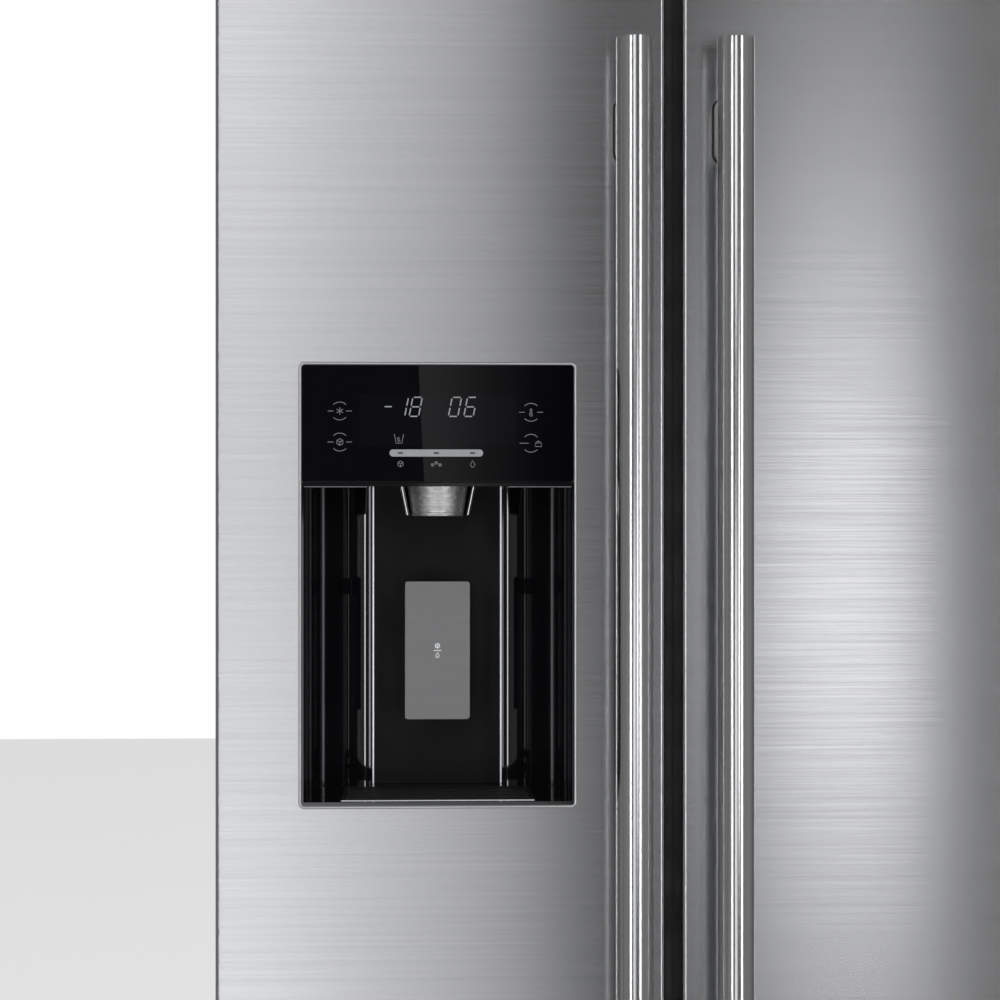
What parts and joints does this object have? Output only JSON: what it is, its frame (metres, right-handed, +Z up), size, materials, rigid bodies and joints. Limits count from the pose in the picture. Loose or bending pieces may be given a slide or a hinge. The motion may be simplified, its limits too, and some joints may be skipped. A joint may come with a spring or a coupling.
{
  "type": "side by side refrigerator",
  "caption": "Tall side by side refrigerator with stainless doors, round bar handles and an ice and water dispenser.",
  "frame": {"origin": "middle of the footprint, on the floor", "axes": "+Z up, -Y towards the person at the doors, +X to that person's right"},
  "size_m": [0.91, 0.74, 1.78],
  "materials": {
    "stainless": "brushed",
    "handle_steel": "satin",
    "post_grey": "satin",
    "cabinet_paint": "textured paint",
    "liner_white": "gloss",
    "foam": "foam",
    "gasket": "matte",
    "black_gloss": "high gloss",
    "bezel_chrome": "polished",
    "chute_steel": "brushed",
    "paddle_grey": "satin",
    "clear_plastic": "clear",
    "shelf_glass": "clear",
    "dark_plastic": "matte",
    "grey_plastic": "matte",
    "galvanised": "galvanised",
    "aluminium": "plain",
    "compressor_black": "gloss",
    "tyre_rubber": "matte"
  },
  "bodies": {
    "cabinet": {"cabinet_shell": "cabinet_paint", "cabinet_insulation": "foam", "freezer_liner": "liner_white", "fridge_liner": "liner_white", "back_panel": "galvanised", "base_pan": "galvanised", "kick_grille": "dark_plastic", "machine_cover": "galvanised", "cord_inlet": "dark_plastic", "compressor": "compressor_black", "condenser": "galvanised", "evaporator": "aluminium", "evaporator_cover": "liner_white", "ice_maker": "grey_plastic", "ice_bin": "clear_plastic", "freezer_shelf": "shelf_glass", "fridge_shelf_1": "shelf_glass", "fridge_shelf_2": "shelf_glass", "fridge_shelf_3": "shelf_glass", "freezer_top_hinge": "galvanised", "freezer_bottom_hinge": "galvanised", "freezer_hinge_cover": "grey_plastic", "fridge_top_hinge": "galvanised", "fridge_bottom_hinge": "galvanised", "fridge_hinge_cover": "grey_plastic"},
    "freezer_door": {"freezer_door_skin": "stainless", "freezer_door_foam": "foam", "freezer_door_liner": "liner_white", "freezer_gasket": "gasket", "freezer_door_bin_1": "clear_plastic", "freezer_door_bin_2": "clear_plastic", "dispenser_housing": "black_gloss", "dispenser_bezel": "bezel_chrome", "control_panel": "black_gloss", "ice_chute": "chute_steel", "freezer_handle_bar": "handle_steel", "freezer_handle_post_upper": "post_grey", "freezer_handle_post_lower": "post_grey"},
    "fridge_door": {"fridge_door_skin": "stainless", "fridge_door_foam": "foam", "fridge_door_liner": "liner_white", "fridge_gasket": "gasket", "fridge_door_bin_1": "clear_plastic", "fridge_door_bin_2": "clear_plastic", "fridge_handle_bar": "handle_steel", "fridge_handle_post_upper": "post_grey", "fridge_handle_post_lower": "post_grey"},
    "paddle": {"dispenser_paddle": "paddle_grey"},
    "grille": {"drip_grille": "dark_plastic"},
    "freezer_upper_drawer": {"freezer_drawer_upper": "clear_plastic"},
    "freezer_lower_drawer": {"freezer_drawer_lower": "clear_plastic"},
    "upper_crisper": {"crisper_upper": "clear_plastic"},
    "lower_crisper": {"crisper_lower": "clear_plastic"},
    "condenser_fan_rotor": {"condenser_fan": "dark_plastic"},
    "evaporator_fan_rotor": {"evaporator_fan": "dark_plastic"},
    "auger": {"ice_auger": "galvanised"},
    "left_levelling_foot": {"left_foot": "dark_plastic"},
    "right_levelling_foot": {"right_foot": "dark_plastic"},
    "left_rear_roller": {"left_roller": "tyre_rubber"},
    "right_rear_roller": {"right_roller": "tyre_rubber"}
  },
  "joints": [
    {"name": "freezer_door_hinge", "type": "hinge", "parent": "cabinet", "child": "freezer_door", "pos_m": [-0.437, -0.275, 1], "axis": [0, 0, -1], "range_deg": [0, 120]},
    {"name": "fridge_door_hinge", "type": "hinge", "parent": "cabinet", "child": "fridge_door", "pos_m": [0.437, -0.275, 1], "axis": [0, 0, 1], "range_deg": [0, 120]},
    {"name": "paddle_pivot", "type": "hinge", "parent": "freezer_door", "child": "paddle", "pos_m": [-0.2616, -0.214, 1.1374], "axis": [1, 0, 0], "range_deg": [0, 10], "stiffness_Nm_per_rad": 0.5},
    {"name": "grille_lift", "type": "slide", "parent": "freezer_door", "child": "grille", "axis": [0, 0, 1], "range_m": [0, 0.05]},
    {"name": "freezer_upper_drawer_slide", "type": "slide", "parent": "cabinet", "child": "freezer_upper_drawer", "axis": [0, -1, 0], "range_m": [0, 0.2]},
    {"name": "freezer_lower_drawer_slide", "type": "slide", "parent": "cabinet", "child": "freezer_lower_drawer", "axis": [0, -1, 0], "range_m": [0, 0.15]},
    {"name": "upper_crisper_slide", "type": "slide", "parent": "cabinet", "child": "upper_crisper", "axis": [0, -1, 0], "range_m": [0, 0.2]},
    {"name": "lower_crisper_slide", "type": "slide", "parent": "cabinet", "child": "lower_crisper", "axis": [0, -1, 0], "range_m": [0, 0.15]},
    {"name": "condenser_fan_spin", "type": "hinge", "parent": "cabinet", "child": "condenser_fan_rotor", "pos_m": [0.038, 0.252, 0.134], "axis": [1, 0, 0], "continuous": true},
    {"name": "evaporator_fan_spin", "type": "hinge", "parent": "cabinet", "child": "evaporator_fan_rotor", "pos_m": [-0.248, 0.284, 1.12], "axis": [0, 1, 0], "continuous": true},
    {"name": "auger_spin", "type": "hinge", "parent": "cabinet", "child": "auger", "pos_m": [-0.2616, 0.05, 1.422], "axis": [0, 1, 0], "continuous": true},
    {"name": "left_foot_screw", "type": "hinge", "parent": "cabinet", "child": "left_levelling_foot", "pos_m": [-0.405, -0.2, 0.05], "axis": [0, 0, 1], "range_deg": [-180, 180]},
    {"name": "right_foot_screw", "type": "hinge", "parent": "cabinet", "child": "right_levelling_foot", "pos_m": [0.405, -0.2, 0.05], "axis": [0, 0, 1], "range_deg": [-180, 180]},
    {"name": "left_roller_axle", "type": "hinge", "parent": "cabinet", "child": "left_rear_roller", "pos_m": [-0.415, 0.32, 0.02], "axis": [1, 0, 0], "continuous": true},
    {"name": "right_roller_axle", "type": "hinge", "parent": "cabinet", "child": "right_rear_roller", "pos_m": [0.415, 0.32, 0.02], "axis": [1, 0, 0], "continuous": true}
  ],
  "couplings": [
    {"joint": "freezer_upper_drawer_slide", "follows": "freezer_door_hinge", "m_per_rad": 0.09549},
    {"joint": "freezer_lower_drawer_slide", "follows": "freezer_door_hinge", "m_per_rad": 0.07161},
    {"joint": "upper_crisper_slide", "follows": "fridge_door_hinge", "m_per_rad": 0.09549},
    {"joint": "lower_crisper_slide", "follows": "fridge_door_hinge", "m_per_rad": 0.07161}
  ]
}
